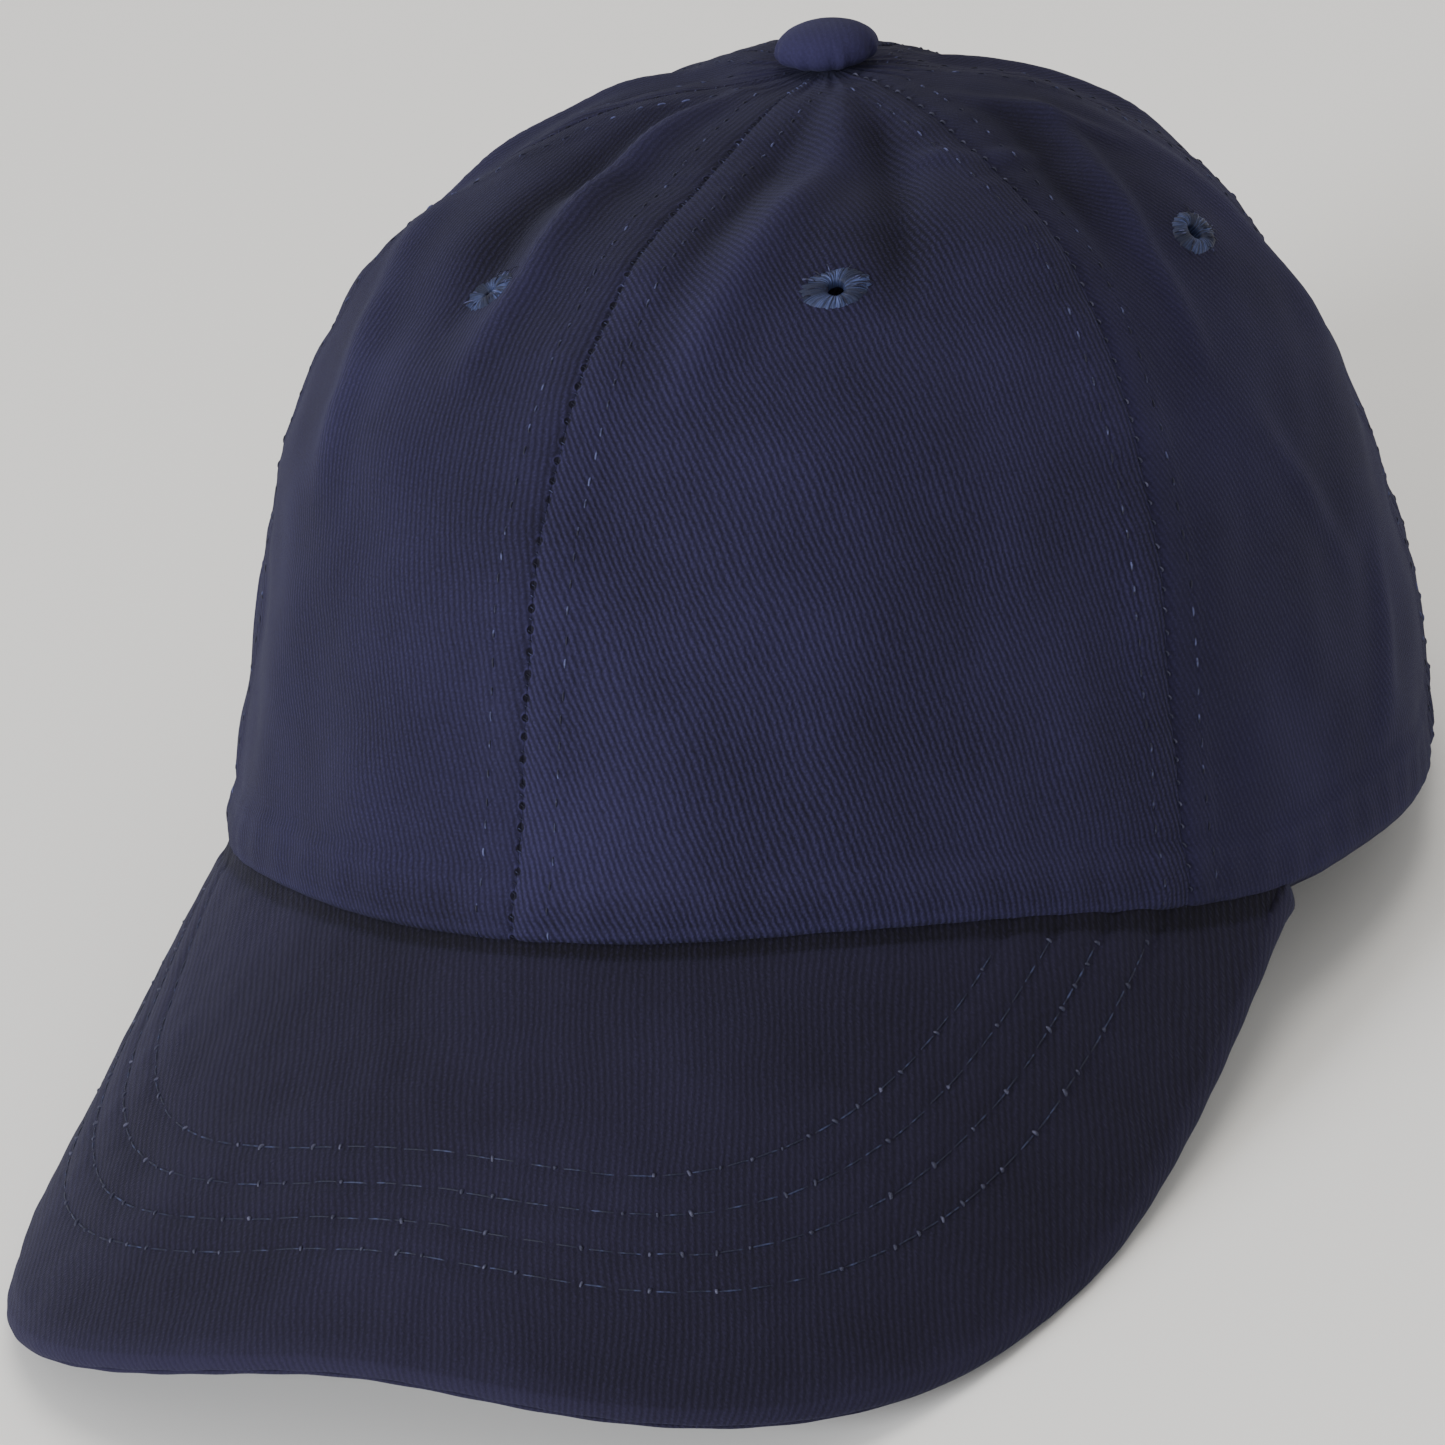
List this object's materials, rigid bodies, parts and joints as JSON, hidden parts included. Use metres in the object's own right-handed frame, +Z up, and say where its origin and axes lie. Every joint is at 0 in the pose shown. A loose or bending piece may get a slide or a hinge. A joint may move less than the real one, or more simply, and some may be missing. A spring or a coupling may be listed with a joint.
{
  "type": "baseball cap",
  "caption": "Soft cotton twill cap with sewn crown panels, a covered top button, stitched eyelets, a curved stitched visor and a cloth back strap with a clamp buckle.",
  "frame": {"origin": "on the table under the middle of the cap, with the cap standing on its visor's corners and the back of its rim", "axes": "+Z up, -Y out over the visor, +X towards the wearer's left"},
  "size_m": [0.168, 0.2669, 0.1196],
  "materials": {
    "crown_twill": "washed cotton twill, matte",
    "visor_twill": "washed cotton twill stretched over a board, matte",
    "strap_twill": "folded cotton twill, matte",
    "seam_tape": "plain woven cotton tape",
    "eyelet_thread": "satin stitched thread",
    "sweatband_cloth": "brushed cotton twill",
    "label_cloth": "plain woven label, blank",
    "board_plastic": "moulded polyethylene board",
    "steel": "zinc plated",
    "buckle_brass": "antique brass plating"
  },
  "bodies": {
    "crown": {"front_panel_left": "crown_twill", "front_panel_right": "crown_twill", "side_panel_left": "crown_twill", "side_panel_right": "crown_twill", "back_panel_left": "crown_twill", "back_panel_right": "crown_twill", "seam_tape_front": "seam_tape", "seam_tape_front_left": "seam_tape", "seam_tape_front_right": "seam_tape", "seam_tape_rear_left": "seam_tape", "seam_tape_rear_right": "seam_tape", "seam_tape_back": "seam_tape", "arch_binding": "seam_tape", "sweatband": "sweatband_cloth", "care_label": "label_cloth", "eyelet_front_left": "eyelet_thread", "eyelet_front_right": "eyelet_thread", "eyelet_side_left": "eyelet_thread", "eyelet_side_right": "eyelet_thread", "eyelet_back_left": "eyelet_thread", "eyelet_back_right": "eyelet_thread", "visor_top_cover": "visor_twill", "visor_board": "board_plastic", "visor_under_cover": "visor_twill", "button_cover": "crown_twill", "button_shell": "steel", "button_rivet": "steel", "button_washer": "steel", "buckle_tab": "strap_twill", "buckle_frame": "buckle_brass", "buckle_pin": "steel"},
    "strap": {"strap": "strap_twill"},
    "lever": {"buckle_lever": "buckle_brass"}
  },
  "joints": [
    {"name": "strap_adjust", "type": "hinge", "parent": "crown", "child": "strap", "pos_m": [0, 0.06035, 0.01742], "axis": [0, 0.0753, 0.9972], "range_deg": [-8, 8]},
    {"name": "buckle_flip", "type": "hinge", "parent": "crown", "child": "lever", "pos_m": [0.02385, 0.13041, 0.01213], "axis": [0, 0.0753, 0.9972], "range_deg": [0, 95]}
  ]
}
